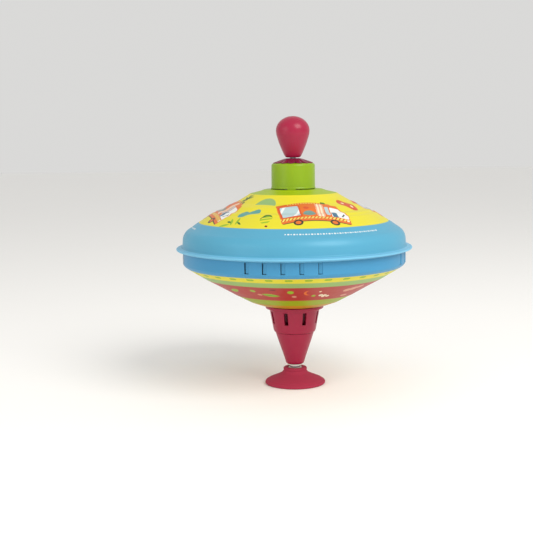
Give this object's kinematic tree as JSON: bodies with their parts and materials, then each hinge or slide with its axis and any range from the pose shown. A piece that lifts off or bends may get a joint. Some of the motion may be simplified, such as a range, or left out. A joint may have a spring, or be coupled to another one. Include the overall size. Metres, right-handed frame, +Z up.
{
  "type": "spinning top",
  "caption": "Humming tin spinning top on a suction foot: a round printed body with reeds inside spins on a pivot when its knob is pumped on a spiral rod.",
  "frame": {"origin": "on the spin axis, at the level that the suction foot's lip stands on", "axes": "+Z up along the spin axis towards the knob; -Y is the side that was pictured"},
  "size_m": [0.2, 0.2, 0.2286],
  "materials": {
    "upper_tin": "gloss lithographed tin",
    "lower_tin": "gloss lithographed tin",
    "magenta_plastic": "moulded gloss",
    "lime_plastic": "moulded satin gloss",
    "foot_rubber": "soft satin",
    "nylon": "moulded satin",
    "steel": "bright zinc plated",
    "brass": "rolled satin"
  },
  "bodies": {
    "foot": {"suction_cup": "foot_rubber", "pivot_socket": "nylon", "pivot_pin": "steel", "thrust_washer": "nylon", "pin_clip": "steel"},
    "top": {"nozzle": "magenta_plastic", "pivot_bush": "brass", "air_housing": "magenta_plastic", "lower_shell": "lower_tin", "upper_shell": "upper_tin", "sound_plate": "steel", "reed_1": "brass", "reed_2": "brass", "reed_3": "brass", "reed_4": "brass", "reed_rivet_1": "brass", "reed_rivet_2": "brass", "reed_rivet_3": "brass", "reed_rivet_4": "brass", "housing_screw_1": "steel", "housing_screw_2": "steel", "housing_screw_3": "steel", "housing_screw_4": "steel", "guide_tube": "steel", "neck": "lime_plastic", "clutch_ring": "nylon", "collar": "magenta_plastic"},
    "driver": {"driver": "nylon"},
    "plunger": {"knob": "magenta_plastic", "spiral_rod": "steel", "rod_pin": "steel", "rod_stop": "steel"}
  },
  "joints": [
    {"name": "body_spin", "type": "hinge", "parent": "foot", "child": "top", "pos_m": [0, 0, 0.0175], "axis": [0, 0, 1], "continuous": true},
    {"name": "knob_pump", "type": "slide", "parent": "top", "child": "plunger", "axis": [0, 0, 1], "range_m": [0, 0.1]},
    {"name": "driver_spin", "type": "hinge", "parent": "top", "child": "driver", "pos_m": [0, 0, 0.18], "axis": [0, 0, 1], "range_deg": [-725, 5]}
  ],
  "couplings": [
    {"joint": "driver_spin", "follows": "knob_pump", "rad_per_m": -125.66}
  ]
}
